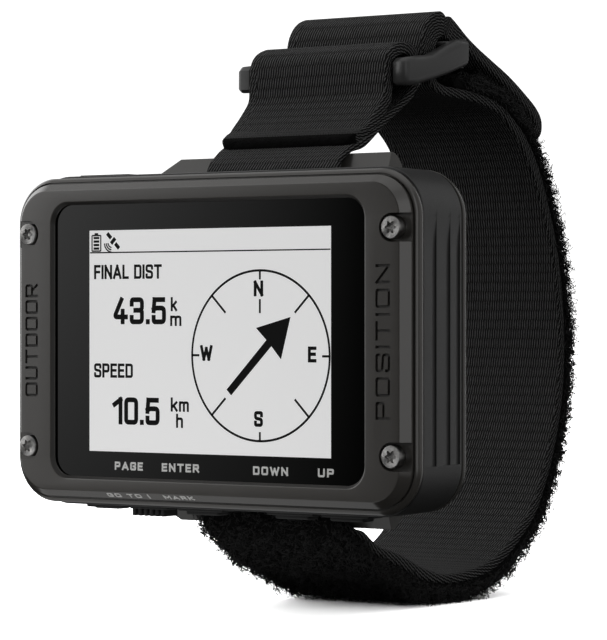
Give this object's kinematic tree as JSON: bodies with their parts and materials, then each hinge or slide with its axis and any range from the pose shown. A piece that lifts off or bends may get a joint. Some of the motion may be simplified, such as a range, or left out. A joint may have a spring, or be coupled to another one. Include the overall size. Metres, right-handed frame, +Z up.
{
  "type": "wrist-worn gps unit",
  "caption": "Sealed wrist GPS unit: display in a screwed bezel, side-press keys below, hinged battery door, and a hook-and-loop strap through lugs and a ring.",
  "frame": {"origin": "centre of the bottom of the whole object's box, which is the lowest line of the strap", "axes": "+X to the reader's right across the case, +Y away from the reader through the wrist opening, +Z up"},
  "size_m": [0.0744, 0.0834, 0.0926],
  "materials": {
    "warm_grey_moulding": "fine satin, warm dark grey",
    "black_grey_moulding": "satin, neutral black-grey",
    "lens_black": "gloss black window with a clear, light grey display area",
    "display_grey": "light grey reflective display",
    "seal_rubber": "black silicone",
    "key_rubber": "matte black moulded rubber",
    "board_green": "solder-masked board",
    "tinned_steel": "tinned sheet steel",
    "stainless_steel": "turned stainless steel, brushed",
    "ceramic_buff": "fired ceramic patch",
    "cell_sleeve": "plain shrink sleeve",
    "black_webbing": "woven nylon, ribbed twill",
    "black_loop_pile": "napped loop pile",
    "black_hook": "moulded hook tape",
    "ring_black": "semi-gloss moulded acetal"
  },
  "bodies": {
    "case": {"front_bezel": "warm_grey_moulding", "rear_frame": "warm_grey_moulding", "rear_housing": "black_grey_moulding", "battery_tray": "black_grey_moulding", "sounder": "black_grey_moulding", "display_lens": "lens_black", "lcd_module": "display_grey", "lens_gasket": "seal_rubber", "bezel_gasket": "seal_rubber", "keypad_seal": "seal_rubber", "main_pcb": "board_green", "shield_can": "tinned_steel", "satellite_antenna": "ceramic_buff", "usb_socket": "tinned_steel", "battery_upper": "cell_sleeve", "battery_lower": "cell_sleeve", "battery_contact_upper": "tinned_steel", "battery_contact_lower": "tinned_steel", "door_hinge_pin": "stainless_steel", "strap_webbing": "black_webbing", "strap_loop_facing": "black_loop_pile", "screw_top_left": "stainless_steel", "screw_top_right": "stainless_steel", "screw_bottom_left": "stainless_steel", "screw_bottom_right": "stainless_steel", "power_switch": "tinned_steel", "page_switch": "tinned_steel", "enter_switch": "tinned_steel", "down_switch": "tinned_steel", "up_switch": "tinned_steel"},
    "power_button": {"power_key": "key_rubber"},
    "page_button": {"page_key": "key_rubber"},
    "enter_button": {"enter_key": "key_rubber"},
    "down_button": {"down_key": "key_rubber"},
    "up_button": {"up_key": "key_rubber"},
    "door": {"battery_door": "black_grey_moulding", "door_seal": "seal_rubber", "contact_bridge": "tinned_steel"},
    "latch": {"door_latch": "black_grey_moulding"},
    "cap": {"usb_cap": "seal_rubber"},
    "ring": {"buckle_ring": "ring_black"},
    "tail": {"strap_tail": "black_webbing", "tail_hook_patch": "black_hook"}
  },
  "joints": [
    {"name": "power_press", "type": "slide", "parent": "case", "child": "power_button", "axis": [0, 0, 1], "range_m": [0, 0.0006], "stiffness_N_per_m": 2500},
    {"name": "page_press", "type": "slide", "parent": "case", "child": "page_button", "axis": [0, 0, 1], "range_m": [0, 0.0006], "stiffness_N_per_m": 2500},
    {"name": "enter_press", "type": "slide", "parent": "case", "child": "enter_button", "axis": [0, 0, 1], "range_m": [0, 0.0006], "stiffness_N_per_m": 2500},
    {"name": "down_press", "type": "slide", "parent": "case", "child": "down_button", "axis": [0, 0, 1], "range_m": [0, 0.0006], "stiffness_N_per_m": 2500},
    {"name": "up_press", "type": "slide", "parent": "case", "child": "up_button", "axis": [0, 0, 1], "range_m": [0, 0.0006], "stiffness_N_per_m": 2500},
    {"name": "door_hinge", "type": "hinge", "parent": "case", "child": "door", "pos_m": [-0.0349, -0.0251, 0.04133], "axis": [0, 0, -1], "range_deg": [0, 100]},
    {"name": "latch_turn", "type": "hinge", "parent": "door", "child": "latch", "pos_m": [-0.0362, -0.0314, 0.04133], "axis": [-1, 0, 0], "range_deg": [0, 90]},
    {"name": "cap_flap", "type": "hinge", "parent": "case", "child": "cap", "pos_m": [-0.0235, -0.0293, 0.06613], "axis": [-1, 0, 0], "range_deg": [0, 100]},
    {"name": "ring_rock", "type": "hinge", "parent": "case", "child": "ring", "pos_m": [0, -0.0082, 0.08213], "axis": [1, 0, 0], "range_deg": [-1.5, 1.5]},
    {"name": "tail_peel", "type": "hinge", "parent": "case", "child": "tail", "pos_m": [0, 0.01015, 0.08928], "axis": [1, 0, 0], "range_deg": [0, 60]}
  ]
}
